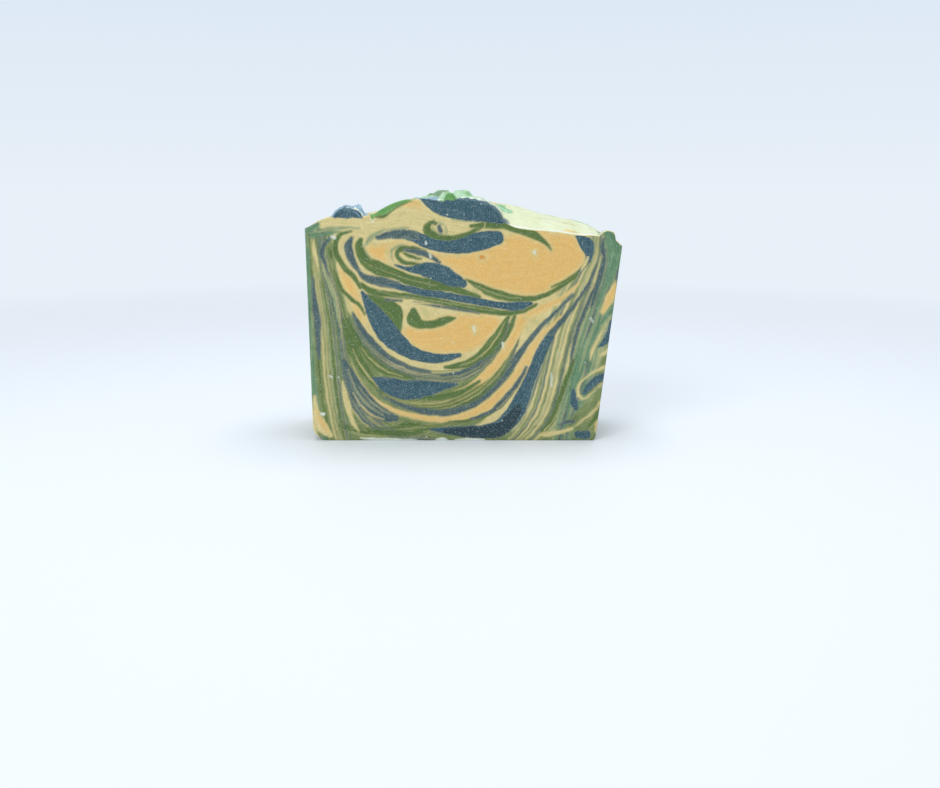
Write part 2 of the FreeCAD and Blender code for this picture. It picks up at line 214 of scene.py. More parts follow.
    ("slate", [(-6, 17.5, 0.3), (-1, 18.3, 0.5), (3, 20, 0.45), (6.5, 22.6, 0.2)]),
    ("olive", [(-30.3, 32.5, 0.3), (-28, 27.5, 0.8), (-25.4, 23.4, 1.0), (-22, 19.8, 1.2), (-18, 18, 0.8),
               (-13, 16.6, 0.3)]),
    ("olive", [(-31.2, 32, 0.4), (-30, 27.5, 1.1), (-28.4, 23.4, 1.4), (-26.2, 19.4, 1.3),
               (-23.8, 15.9, 0.8), (-21.5, 13, 0.4)]),
    ("blue", [(-23.6, 16.8, 0.4), (-20.5, 15.1, 2.0), (-15.5, 13.7, 2.5), (-10.5, 13.9, 2.2),
              (-6, 14.6, 1.1), (-2, 15.2, 0.3)]),
    ("olive", [(-11, 11.4, 0.4), (-6, 11.8, 0.9), (-1, 13, 0.7), (4, 16, 0.3)]),
    ("slate", [(-20.5, 11.6, 0.2), (-16, 9.4, 0.5), (-11, 8, 0.75), (-6, 7.5, 0.8), (-2, 8.2, 0.9),
               (3, 10.4, 1.0), (8, 14.6, 1.0), (12, 19.6, 0.9), (15.3, 24.6, 0.7), (19, 29.4, 0.55),
               (23, 33.6, 0.4), (28, 38.5, 0.3)]),
    ("olive", [(-2, 9.2, 0.3), (3, 11.3, 0.45), (8, 15.6, 0.4), (11.8, 20.6, 0.3)]),
    ("slate", [(-31.2, 21.5, 0.5), (-29.9, 17.5, 1.4), (-27.6, 12.6, 2.2), (-24.4, 8.8, 2.1),
               (-20.6, 6.7, 1.5), (-18, 6, 0.8)]),
    ("sage", [(-30.2, 19, 0.15), (-28.6, 14.2, 0.3), (-25.6, 9.8, 0.35), (-21.4, 6.9, 0.15)]),
    ("cream", [(-29.2, 13, 0.15), (-27.2, 9.6, 0.3), (-24.2, 6.9, 0.3), (-21, 5.7, 0.15)]),
    ("sage", [(-27.6, 14.6, 0.12), (-25, 11, 0.22), (-21.8, 8.4, 0.22), (-19.6, 7.2, 0.12)]),
    ("olive", [(-17, 4.3, 0.3), (-14.6, 4.3, 0.8), (-12, 4.5, 0.3)]),
    ("olive", [(-25.5, 2.6, 0.3), (-21, 2.1, 0.8), (-15, 1.9, 0.7), (-11, 2.2, 0.3)]),
    ("blue", [(-9, 2.9, 0.2), (-4.5, 2.7, 0.9), (0, 2.5, 1.4), (5, 2.4, 1.8), (9.3, 3.3, 2.2),
              (12.4, 6.2, 2.3), (14.9, 10.4, 2.2), (16.9, 14.8, 1.9), (18.6, 19.4, 1.6),
              (20.4, 24.3, 1.3), (22.8, 28.7, 0.8), (26, 33, 0.35)]),
    ("navy", [(-5, 2.5, 0.4), (0, 2.3, 1.2), (5, 2.2, 1.5), (9.3, 3, 1.7), (12.2, 5.6, 1.6),
              (14.2, 8.8, 0.8)]),
    ("olive", [(-4, 5, 0.2), (1, 5.4, 0.35), (5, 6.4, 0.4), (9, 9, 0.4), (12.5, 12.6, 0.3)]),
    ("slate", [(2, 5.8, 0.3), (7.3, 8, 0.5), (11, 11.6, 0.7), (14.3, 16, 0.5), (16.2, 19.7, 0.3)]),
    ("cream", [(8.6, 8.6, 0.12), (11.4, 11.2, 0.15), (13.6, 14, 0.12)]),
    ("sage", [(11, 1.6, 0.15), (14.8, 4.2, 0.2), (16.6, 8.6, 0.2), (17.9, 13, 0.25), (19.6, 18.4, 0.2),
              (21.6, 23.6, 0.2)]),
    # The right side.
    ("slate", [(22.6, 28.4, 0.5), (26, 32.8, 0.5), (29.5, 37.6, 0.4), (32.5, 42.6, 0.3), (34, 47, 0.15)]),
    ("slate", [(33.6, 41.5, 0.2), (31.8, 36.2, 0.45), (29.8, 31, 0.45), (28.4, 25.5, 0.4),
               (27.8, 20, 0.25)]),
    ("slate", [(35.8, 50, 0.3), (35.2, 45, 0.6), (33.9, 40, 0.55), (32.8, 35.5, 0.3)]),
    ("olive", [(28.4, 21.5, 0.4), (26.4, 15.5, 0.6), (24.8, 10.5, 0.6), (23, 6, 0.5), (20.5, 2.5, 0.3)]),
    ("blue", [(28.8, 53.4, 0.5), (31.1, 51.4, 1.7), (31.9, 48.8, 0.9), (31.2, 46.5, 0.4),
              (29.3, 44.3, 0.2)]),
    ("cream", [(31.6, 48.2, 0.4), (30.6, 46, 0.6), (29.6, 44.2, 0.2)]),
    ("slate", [(35.4, 52.8, 0.3), (35.2, 50.6, 0.5), (35.6, 48.4, 0.3)]),
    ("leaf", [(36.6, 54.3, 1.3), (38.4, 51, 2.2), (38.2, 46.5, 1.8), (37, 42.6, 1.1), (35.6, 39, 0.7),
              (34.2, 35, 0.4)]),
    ("slate", [(39.6, 44.5, 0.4), (39.2, 42, 0.5), (39.1, 38, 0.2)]),
    ("honey", [(38.8, 42.2, 0.3), (37.9, 39, 1.2), (36.4, 35.8, 1.2), (35, 33.2, 0.5)]),
    ("leaf", [(38.6, 35.4, 0.8), (37, 33.6, 0.6), (35, 30.8, 0.4)]),
    ("leaf", [(35, 33.4, 0.4), (33.8, 29.8, 1.0), (32, 25, 1.4), (30, 19.5, 1.3), (28.2, 13.5, 0.8),
              (27.4, 8, 0.4)]),
    ("cream", [(36.4, 31.2, 0.3), (35, 27.6, 0.6), (33.4, 24, 0.7), (32.6, 21.5, 0.3)]),
    ("blue", [(38.4, 31.4, 0.9), (37.4, 28, 0.9), (36, 25.9, 0.6), (35, 25.1, 0.2)]),
    ("cream", [(37.6, 24.4, 0.6), (36, 23.2, 0.5), (34.6, 22.6, 0.2)]),
    ("moss", [(27.5, 3.5, 0.8), (30, 6, 1.8), (33, 8.5, 2.0), (35.4, 12.5, 1.3), (36.5, 15, 0.6)]),
    ("cream", [(36.8, 19.8, 0.5), (33.4, 18.2, 0.5), (30.4, 15.6, 0.5), (29.9, 12.7, 0.6),
               (31.2, 11.4, 0.5), (33.5, 12.8, 0.35), (36, 15.4, 0.3)]),
    ("blue", [(31.3, 12.8, 0.4), (32.9, 14.7, 0.9), (35, 16.6, 0.9), (37, 17.8, 0.6)]),
    ("blue", [(28.6, 13.6, 0.4), (28.7, 10.8, 0.9), (29.4, 8.8, 0.6)]),
    ("honey", [(35.8, 10, 0.7), (35.2, 6, 0.7), (34.9, 2.5, 0.5)]),
    ("cream", [(20, 1.6, 0.5), (22.3, 1.8, 0.9), (25, 2.2, 0.8), (28.5, 3.2, 0.6)]),
    ("slate", [(25, 4.2, 0.2), (27.4, 5, 0.5), (29, 5.2, 0.3)]),
    ("blue", [(30, 1.6, 0.9), (32.3, 1.5, 1.1)]),
    ("sage", [(36.6, 40.4, 0.15), (35, 35, 0.3), (33.2, 29.4, 0.35), (31.4, 24, 0.35), (30, 18.6, 0.15)]),
    ("cream", [(36.6, 12.6, 0.2), (34.8, 8.6, 0.4), (31.6, 5.8, 0.4), (28.8, 3.6, 0.15)]),
    ("olive", [(32.8, 3.8, 0.3), (34.8, 6.4, 0.6), (35.9, 9.4, 0.3)]),
    ("sage", [(30.4, 9.4, 0.15), (33, 11.2, 0.3), (35, 14, 0.15)]),
    # What lies on top, as the slicer cut it.
    ("blue", [(-9.9, 62.6, 0.7), (-7, 61.3, 1.9), (-3, 60.7, 2.7), (2, 60, 2.7), (6, 59.2, 2.2),
              (9.2, 58, 1.4)]),
    ("blue", [(-32.6, 58.5, 0.5), (-30.6, 59.3, 1.3), (-28.4, 59.5, 1.5), (-26.2, 58.9, 0.9)]),
    ("ice", [(-31.8, 59.8, 0.1), (-30, 60.6, 0.5), (-28, 60.6, 0.7), (-26.9, 59.8, 0.7), (-26, 58.7, 0.4)]),
    ("olive", [(-22.6, 58.4, 0.3), (-20.4, 58.5, 0.4), (-18, 60.2, 0.4), (-15.4, 61.6, 0.3),
               (-13, 62.4, 0.12)]),
    ("bright", [(-22.2, 59.4, 0.9), (-20, 59.8, 0.8), (-17.5, 61.4, 0.8), (-15, 62.4, 0.5),
                (-12.5, 63, 0.2)]),
    ("bright", [(-4.9, 62.8, 0.4), (-3.6, 63.5, 1.3), (-2.3, 62.8, 0.5)]),
    ("amber", [(4.5, 48.2, 0.5), (5.1, 48.1, 0.35)]),
    ("sage", [(-25.6, 47, 0.08), (-22, 45.3, 0.15), (-17.5, 43.7, 0.12), (-13, 42.2, 0.15), (-7, 41, 0.08)]),
    ("sage", [(-22.4, 39.6, 0.08), (-17, 38.3, 0.12), (-11, 37.6, 0.12), (-5, 36.6, 0.12),
              (1, 35.5, 0.12), (8, 34.4, 0.08)]),
    ("sage", [(2.5, 41.3, 0.08), (6.5, 39.4, 0.2), (11, 38, 0.15), (15, 37.7, 0.08)]),
    ("cream", [(10.6, 31.6, 0.08), (9, 28.4, 0.2), (6.6, 24.9, 0.2), (3, 21.8, 0.15), (-1, 20.2, 0.08)]),
    ("cream", [(-29, 24.6, 0.1), (-27, 20.2, 0.25), (-24.4, 16.6, 0.25), (-22.4, 14.2, 0.12)]),
    ("cream", [(-26.8, 25, 0.1), (-23.8, 21.2, 0.2), (-20, 18.6, 0.2), (-16, 17.3, 0.1)]),
    # Chips, a scratch and crumbs of pale soap along the lower edge.
    ("white_crumbs_and_highlights", [(-9.8, 52, 0.2), (-9.7, 51.6, 0.28)]),
    ("white_crumbs_and_highlights", [(-8.8, 49.2, 0.15), (-8.4, 48.2, 0.25)]),
    ("white_crumbs_and_highlights", [(17.9, 49.4, 0.3), (18, 48.9, 0.15)]),
    ("white_crumbs_and_highlights", [(2.5, 30.2, 0.22), (2.8, 29, 0.1)]),
    ("white_crumbs_and_highlights", [(10.1, 26, 0.25), (10.2, 24.8, 0.12)]),
    ("white_crumbs_and_highlights", [(22.8, 18.4, 0.06), (22.8, 16, 0.18), (22.8, 14.4, 0.06)]),
    ("white_crumbs_and_highlights", [(32.6, 32.5, 0.2), (33.2, 31.6, 0.15)]),
    ("white_crumbs_and_highlights", [(-33.6, 53.3, 0.3), (-32.7, 53, 0.35)]),
    ("white_crumbs_and_highlights", [(-23.2, 57.9, 0.15), (-23, 57, 0.2)]),
    ("white_crumbs_and_highlights", [(-37.6, 7.4, 0.3), (-37, 7.2, 0.35)]),
    ("white_crumbs_and_highlights", [(-35, 17.4, 0.15), (-34.5, 17.1, 0.15)]),
    ("white_crumbs_and_highlights", [(-27.5, 0.7, 0.1), (-25, 0.5, 0.3), (-21, 0.3, 0.35), (-16, 0.2, 0.25), (-12.7, 0.1, 0.2)]),
    ("white_crumbs_and_highlights", [(-7.6, 0, 0.2), (-6, 0.3, 0.45), (-4.5, 0.1, 0.2)]),
    ("white_crumbs_and_highlights", [(-2.4, 0, 0.3), (1, 0.2, 0.45), (5, 0.1, 0.3)]),
]

# Every pigment but the plain cream batter, which is where none of them is.
PIGMENTS = ("honey", "amber", "sage", "moss", "leaf", "olive", "slate", "blue", "navy", "bright", "pale",
            "mint", "ice", "white_crumbs_and_highlights")
# Straight steps between two points of a line, a distance beyond any in the bar, and how far round a
# line its distances are worked out, both in millimetres.
PATH_STEPS = 5
FAR = 1.0e3
MARGIN = 2.0
# How the flow lines turn, across and up, where no stroke lies.
PLAIN_FLOW = (0.12, 0.05)


def smooth_line(points):
    """A Catmull-Rom curve through the points, as a fine polyline."""
    knots = np.array([points[0]] + list(points) + [points[-1]], float)
    steps = np.linspace(0, 1, PATH_STEPS, endpoint=False)[:, None]
    runs = []
    for before, start, end, after in zip(knots, knots[1:], knots[2:], knots[3:]):
        bend = 2 * before - 5 * start + 4 * end - after
        twist = 3 * (start - end) + after - before
        runs.append(start + 0.5 * steps * ((end - before) + steps * (bend + steps * twist)))
    runs.append(knots[-1:])
    return np.concatenate(runs)


def measure(across, up, points):
    """For each place near the line: its distance from it, signed by its side (left is positive), the
    line's half width beside it, and how far along the line that is."""
    line = smooth_line(points)
    margin = line[:, 2].max() + MARGIN
    low, high = line[:, :2].min(0) - margin, line[:, :2].max(0) + margin
    near = (across > low[0]) & (across < high[0]) & (up > low[1]) & (up < high[1])
    place_across, place_up = across[near], up[near]
    nearest = np.full(place_across.shape, FAR ** 2)
    signed = np.full(place_across.shape, FAR)
    width = np.zeros(place_across.shape)
    along = np.zeros(place_across.shape)
    travelled = 0.0
    for start, end in zip(line[:-1], line[1:]):
        run_across, run_up = end[0] - start[0], end[1] - start[1]
        length = np.hypot(run_across, run_up)
        if length == 0:
            continue
        off_across, off_up = place_across - start[0], place_up - start[1]
        part = np.clip((off_across * run_across + off_up * run_up) / length ** 2, 0, 1)
        gap = (off_across - part * run_across) ** 2 + (off_up - part * run_up) ** 2
        closer = gap < nearest
        side = np.where(run_across * off_up - run_up * off_across >= 0, 1.0, -1.0)
        nearest = np.where(closer, gap, nearest)
        signed = np.where(closer, side * np.sqrt(gap), signed)
        width = np.where(closer, start[2] + part * (end[2] - start[2]), width)
        along = np.where(closer, travelled + part * length, along)
        travelled += length
    found = []
    for values, elsewhere in ((signed, FAR), (width, 0.0), (along, 0.0)):
        whole = np.full(across.shape, elsewhere)
        whole[near] = values
        found.append(whole)
    return found


def cover(inside, pigment, depth):
    """Lays a pigment over the others, wherever its depth is more than nothing."""
    for other in PIGMENTS:
        inside[other] = np.minimum(inside[other], -depth)
    if pigment in inside:
        inside[pigment] = np.maximum(inside[pigment], depth)


def nowhere(shape):
    """The depth inside each pigment before any is laid: none of it is near."""
    return {pigment: np.full(shape, -FAR) for pigment in PIGMENTS}


def swirl(across, up):
    """How far each place lies inside each pigment, in millimetres, and its place in the flow of batter."""
    inside = nowhere(across.shape)
    flow = across * PLAIN_FLOW[0] + up * PLAIN_FLOW[1]
    run = up.copy()

    def follow(signed, width, along):
        here = np.abs(signed) < width
        return np.where(here, signed, flow), np.where(here, along, run)

    for pigment, points in GROUND:
        signed, width, along = measure(across, up, points)
        cover(inside, pigment, width - np.abs(signed))
        flow, run = follow(signed, width, along)
    for points, streaks in BUNDLES:
        signed, width, along = measure(across, up, points)
        begin = -1.0
        for end, pigment in streaks:
            cover(inside, pigment, np.minimum(signed - begin * width, end * width - signed))
            begin = end
        flow, run = follow(signed, width, along)
    for pigment, points in STROKES:
        signed, width, along = measure(across, up, points)
        cover(inside, pigment, width - np.abs(signed))
        flow, run = follow(signed, width, along)
    return inside, flow, run


# The poured top from above, in millimetres: across, and behind the front cut. Its white strokes are painted
# highlights.
TOP_STROKES = [
    ("cream", [(-37, 0, 3), (-33, 8, 9), (-24, 14, 12), (-12, 14, 12)]),
    ("honey", [(-14, 0, 1.5), (-12, 2, 2.0), (-10.5, 0, 1.5)]),
    ("sage", [(-41, 7, 0.8), (-34, 9, 1.1), (-27, 12, 0.9), (-20, 10, 0.8), (-13, 11, 0.5), (-8, 14, 0.3)]),
    ("leaf", [(-41, 10, 0.3), (-34, 12, 0.5), (-26, 14.5, 0.4), (-18, 12.5, 0.5), (-12, 14, 0.2)]),
    ("moss", [(-41, 15, 0.6), (-33, 17, 0.9), (-25, 17, 0.8), (-17, 19, 1.0), (-8, 21, 0.9), (2, 22, 0.6),
              (12, 26, 0.4)]),
    ("slate", [(-36, 16.6, 0.2), (-29, 17.3, 0.4), (-21, 17.7, 0.3), (-12, 20, 0.5), (-3, 21.4, 0.3)]),
    ("sage", [(-41, 21, 0.8), (-32, 22, 0.9), (-22, 22.5, 0.6), (-14, 25, 0.5)]),
    ("pale", [(8, 3, 4), (17, 9, 10), (24, 12, 13), (31, 10, 10), (34, 6, 6)]),
    # Painted highlight: a white line along the front edge of the swept hollow on the right.
    ("white_crumbs_and_highlights", [(9, 0.4, 0.2), (13, 0.4, 0.5), (20, 0.5, 0.4), (27, 0.5, 0.5), (33, 0.5, 0.45),
               (35.5, 0.5, 0.2)]),
    ("sage", [(17, 7.5, 0.1), (23, 8.5, 0.25), (29, 7.5, 0.3), (33, 5.5, 0.1)]),
    ("mint", [(12, 20, 0.6), (19, 18, 1.2), (27, 19, 1.5), (34, 16, 0.8)]),
    ("sage", [(14, 23.5, 0.5), (22, 22, 1.0), (31, 23, 1.0)]),
    ("mint", [(-11.5, 5, 3), (-7, 8, 7), (-1, 9, 8), (5, 9, 6.5), (9, 9, 3)]),
    ("ice", [(-12, 1.6, 0.6), (-9.6, 2.4, 1.4), (-7.4, 3.6, 0.8)]),
    ("blue", [(-11, 0.2, 0.8), (-8, 0.3, 1.2), (-4, 0.2, 1.1), (2, 0.3, 1.2), (7, 0.6, 2.0),
              (10.3, 0.8, 1.5)]),
    # Painted highlights: white rims along the heap's front edge, over the blue.
    ("white_crumbs_and_highlights", [(-9.5, 1.5, 0.2), (-7.5, 1.4, 0.4), (-5.4, 2.4, 0.35), (-4.8, 3.4, 0.2)]),
    ("white_crumbs_and_highlights", [(-1.8, 1.6, 0.3), (0.4, 1.7, 0.45), (3, 2.0, 0.4), (6.4, 2.8, 0.3), (9, 3.2, 0.2)]),
    ("leaf", [(-9, 6.5, 0.5), (-6.6, 6, 0.9), (-4.8, 8.5, 0.8)]),
    ("bright", [(-5, 1.5, 0.8), (-3.6, 1.2, 1.5), (-2.2, 1.5, 0.8)]),
    ("bright", [(0, 5, 0.4), (2, 4.5, 0.8), (4.5, 6.5, 0.6)]),
    ("blue", [(5, 13, 1.2), (1, 15.5, 2.0), (-5, 15.5, 1.8), (-9, 13, 0.9)]),
    ("ice", [(-32.9, 1.5, 1.2), (-31, 3.5, 3.2), (-28.5, 4.2, 3.8), (-25.8, 3, 2.0)]),
    ("blue", [(-32.9, 0, 0.6), (-31, 0.2, 1.3), (-28.5, 0.2, 1.5), (-26.4, 0.2, 0.8)]),
    # Painted highlight on the right side of the dollop's rough top.
    ("white_crumbs_and_highlights", [(-29.6, 1.2, 0.15), (-28, 1.3, 0.3), (-26.4, 1.3, 0.5), (-25.2, 1.2, 0.3)]),
    ("blue", [(-31.2, 5.5, 0.3), (-29, 6.4, 0.9), (-26.6, 6, 0.5)]),
    ("bright", [(-23.2, 0.7, 1.2), (-19, 0.9, 1.5), (-15.5, 0.8, 1.1), (-12, 0.5, 0.4)]),
    # Painted highlight along the upper side of the green curl.
    ("white_crumbs_and_highlights", [(-21.5, 0.9, 0.12), (-19, 1.1, 0.2), (-16, 0.8, 0.12)]),
    ("leaf", [(34.6, 1.4, 0.5), (36.5, 3, 2.3), (38.3, 8, 1.9), (38.6, 16, 1.4), (38, 25, 2)]),
    ("olive", [(9, 13.5, 0.5), (11.5, 14, 0.9), (14.5, 14.4, 0.5)]),
    ("leaf", [(-40.2, 0, 2.0), (-40.2, 12, 1.6), (-40.2, 25, 2.2)]),
]

# Small forms of the top that the solid leaves out: across, behind the front, rise, and radius.
TOP_FORMS = [
    (-23.1, 0.0, -1.4, 0.5),
    (-23.9, 0.0, 0.5, 0.5),
    (-38.6, 0.0, -0.3, 0.8),
    (38.2, 0.4, 0.5, 0.7),
    (39.0, 0.4, 0.25, 0.5),
    (-8.4, 6.5, 0.9, 1.1),
    (-6.6, 9.0, 0.4, 0.9),
    (-3.6, 7.4, 0.7, 1.8),
    (-2.2, 4.5, 0.5, 0.8),
    (0.8, 6.5, 0.5, 0.9),
    (2.9, 8.5, 0.6, 0.9),
    (4.2, 7.5, 0.7, 1.2),
    (-30.6, 4.5, 0.4, 0.8),
    (-28.2, 5.5, 0.5, 0.8),
    (-26.6, 4.0, 0.9, 0.7),
    (-31.8, 6.0, 0.4, 0.9),
    (-12.5, 3.0, 0.5, 1.0),
    (11.0, 13.5, 0.3, 1.4),
    (20.5, 12.0, 0.35, 2.0),
    (27.5, 10.5, 0.3, 1.6),
]

# The skin's columns and rows on the front cut, and its slices behind it, in millimetres.
COLUMNS, ROWS = 272, 210
NEAR_SLICES = [0, 0.22, 0.5, 0.85, 1.25, 1.7, 2.2, 2.75, 3.35, 4.0]
FAR_SLICES = [0.6 + 0.72 * step for step in range(6, 34)] + [24.78, 25]
# How far the cuts' sharp edges are drawn in and how close to the edge that begins, and the skin's gap
# inside the solid's walls and top.
EDGE, EDGE_SHARPNESS = 0.22, 30
SKIN_GAP = 0.02
# Heights at which the walls are measured: closely over the two floor corners, then up to just under the
# lowest part of the top. Rays start well outside the bar.
WALL_HEIGHTS = np.concatenate([np.linspace(0.02, 5, 40), [15, 30, 49, 51]])
ABOVE, OUTSIDE, HIGH = 70, 80, 90
# The roughest mounds from above: middle across, middle behind the front, and reach each way.
HEAP = (-1, 8, 9, 7)
DOLLOP = (-29, 5, 5, 5)
# The top's own texture: height in millimetres, and waves to the millimetre.
FROTH, FROTH_WAVES = 0.9, 0.8
FROTH_FALL, FROTH_STEP, FROTH_OCTAVES = 0.7, 2.1, 4
SWELL, SWELL_WAVES = 0.10, 0.35
FURROW, FURROW_ACROSS, FURROW_BEHIND = 0.45, 0.09, 0.5
# How much rougher than the rest each mound is, the least roughness, and how far behind the front cut the
# froth is at its full height.
HEAP_FROTH, DOLLOP_FROTH, LEAST_FROTH, FROTH_START = 1.3, 1.2, 0.06, 1.5
# The furrows fade within this distance of the front cut and of both walls.
FURROW_START, WALL = 4, 38
# The top's height is first taken as this, to find where the leaning walls are beside it.
FIRST_HEIGHT, ROUNDS = 51.0, 2
# The front's colours drift towards the back cut by this much, and every edge trembles a little.
DRIFT, DRIFT_WAVES, NARROWING = 6.5, 0.045, 0.1
# The seed of every noise vector. Without it they come from the clock, and the drift changes each run.
SEED = 1796000587
TREMBLE, TREMBLE_WAVES = 0.2, 0.5
FINE_TREMBLE, FINE_WAVES = 0.08, 1.6
# The top's colours sway once they are behind the front cut.
SWAY, SWAY_WAVES = 2.2, 0.22
SMALL_SWAY, SMALL_SWAY_WAVES = 0.7, 0.9
SWAY_START = 6


def hit(tree, start, way):
    """Where a ray from outside first meets the solid, in millimetres."""
    return tree.ray_cast(Vector(start) * MM, Vector(way))[0] / MM


def wall_table(tree):
    """Left and right wall at a row of heights, carried on straight over the lowest part of the top."""
    left = [hit(tree, (-OUTSIDE, 0, height), (1, 0, 0)).x for height in WALL_HEIGHTS]
    right = [hit(tree, (OUTSIDE, 0, height), (-1, 0, 0)).x for height in WALL_HEIGHTS]
    for wall in (left, right):
        lean = (wall[-1] - wall[-2]) / (WALL_HEIGHTS[-1] - WALL_HEIGHTS[-2])
        wall.append(wall[-1] + lean * (ABOVE - WALL_HEIGHTS[-1]))
    return np.append(WALL_HEIGHTS, ABOVE), left, right


def near_mound(mound, across, behind):
    """1 at the middle of a mound, falling to 0 round it."""
    middle_across, middle_behind, reach_across, reach_behind = mound
    off_across = (across - middle_across) / reach_across
    off_behind = (behind - middle_behind) / reach_behind
    return np.exp(-(off_across**2) - off_behind**2)


def rough(across, behind):
    """How rough the top is here, from 0 to 1: the mounds are, the swept hollow is not."""
    heap = HEAP_FROTH * near_mound(HEAP, across, behind)
    dollop = DOLLOP_FROTH * near_mound(DOLLOP, across, behind)
    return np.clip(heap + dollop, LEAST_FROTH, 1) * np.clip(behind / FROTH_START, 0, 1)


def top_height(tree, across, behind):
    """Height of the poured surface: the solid's, with its small forms."""
    depth = np.clip(FRONT + behind, FRONT + 0.03, BACK - 0.03)
    height = hit(tree, (across, depth, HIGH), (0, 0, -1)).z
    for form_across, form_behind, rise, radius in TOP_FORMS:
        gap = ((across - form_across) ** 2 + (behind - form_behind) ** 2) / radius**2
        height += rise * np.exp(-gap)
    spot = Vector((across, behind, 0))
    froth = noise.fractal(spot * FROTH_WAVES, FROTH_FALL, FROTH_STEP, FROTH_OCTAVES)
    height += FROTH * rough(across, behind) * froth
    height += SWELL * noise.noise(spot * SWELL_WAVES)
    furrow = noise.noise(Vector((across * FURROW_ACROSS, behind * FURROW_BEHIND, 3)))
    from_edge = min(behind, WALL - abs(across))
    height += FURROW * np.clip(from_edge / FURROW_START, 0, 1) * furrow
    return min(height, cad_high.z / MM - SKIN_GAP)


class Bar:
    """Places on the bar's surface, by column across, row up and slice behind the front cut."""

    def __init__(self):
        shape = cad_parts[NODE]
        self.tree = BVHTree.FromObject(shape, bpy.context.evaluated_depsgraph_get())
        self.walls = wall_table(self.tree)
        self.tops = {}

    def across(self, column, height):
        heights, left, right = self.walls
        low, high = np.interp(height, heights, left), np.interp(height, heights, right)
        return low + SKIN_GAP + column / COLUMNS * (high - low - 2 * SKIN_GAP)

    def top(self, column, behind):
        if (column, behind) not in self.tops:
            height = FIRST_HEIGHT
            for _ in range(ROUNDS):
                height = top_height(self.tree, self.across(column, height), behind)
            self.tops[column, behind] = height
        return self.tops[column, behind]

    def place(self, column, row, behind):
        """One vertex. The two cuts' own edges are drawn in, which breaks the sharp corner there."""
        top = self.top(column, behind)
        height = row / ROWS * top
        across = self.across(column, height)
        if behind in (NEAR_SLICES[0], FAR_SLICES[-1]):
            middle = self.across(COLUMNS / 2, height)
            near_wall = min(1, abs(2 * column / COLUMNS - 1) ** EDGE_SHARPNESS)
            across += EDGE * (1 if across < middle else -1) * near_wall
            height += EDGE * ((1 - row / ROWS) ** EDGE_SHARPNESS - (row / ROWS) ** EDGE_SHARPNESS)
        return across, FRONT + behind, height


def ring(step):
    """The columns and rows once round the bar's outline: foot, right, top and left."""
    foot = [(column, 0) for column in range(0, COLUMNS, step)]
    right = [(COLUMNS, row) for row in range(0, ROWS, step)]
    top = [(column, ROWS) for column in range(COLUMNS, 0, -step)]
    left = [(0, row) for row in range(ROWS, 0, -step)]
    return foot + right + top + left


def build_skin(name):
    """One closed skin over the six faces. Behind the nearest slices it has half as many columns."""
    bar = Bar()
    index = {}
    places = []

    def vertex(column, row, behind):
        key = (column, row, behind)
        if key not in index:
            index[key] = len(places)
            places.append(bar.place(*key))
        return index[key]

    faces = []
    for step, behind, turn in ((1, NEAR_SLICES[0], 1), (2, FAR_SLICES[-1], -1)):
        for column in range(0, COLUMNS, step):
            for row in range(0, ROWS, step):
                corners = ((0, 0), (step, 0), (step, step), (0, step))[::turn]
                faces.append([vertex(column + right, row + up, behind) for right, up in corners])
    for slices, step in ((NEAR_SLICES, 1), (FAR_SLICES, 2)):
        outline = ring(step)
        for near, far in zip(slices, slices[1:]):
            for start, end in zip(outline, outline[1:] + outline[:1]):
                corners = ((end, near), (start, near), (start, far), (end, far))
                faces.append([vertex(*place, behind) for place, behind in corners])
    near, far = NEAR_SLICES[-1], FAR_SLICES[0]
    fine, coarse = ring(1), ring(2)
    for number, start in enumerate(coarse):
        end = coarse[(number + 1) % len(coarse)]
        middle = fine[2 * number + 1]
        faces.append([vertex(*middle, near), vertex(*start, near), vertex(*start, far)])
        faces.append([vertex(*end, near), vertex(*middle, near), vertex(*start, far), vertex(*end, far)])
    mesh = bpy.data.meshes.new(name)
    mesh.from_pydata([[MM * value for value in place] for place in places], [], faces)
    on_top = np.array([row == ROWS and behind > 0 for _, row, behind in index])
    return mesh, np.array(places), on_top


def wander(places):
    """Where the swirl of the front cut has drifted to at each place further back in the bar."""
    depth = (places[:, 1] - FRONT) / (BACK - FRONT)
    across, up = places[:, 0].copy(), places[:, 2].copy()
    for number, place in enumerate(places):
        spot = Vector(place)
        drift = noise.noise_vector(spot * DRIFT_WAVES) * DRIFT * depth[number]
        fine = noise.noise_vector(spot * FINE_WAVES) * FINE_TREMBLE * (1 - depth[number])
        tremble = noise.noise_vector(spot * TREMBLE_WAVES) * TREMBLE + fine
        across[number] += drift.x + tremble.x - NARROWING * depth[number] * place[0]
        up[number] += drift.y + tremble.y
    return across, up


def srgb(red, green, blue):
    """A colour as a picture gives it, 0 to 255, made linear for a shader."""
    values = np.array([red, green, blue]) / 255
    linear = np.where(values <= 0.04045, values / 12.92, ((values + 0.055) / 1.055) ** 2.4)
    return (*[float(value) for value in linear], 1.0)


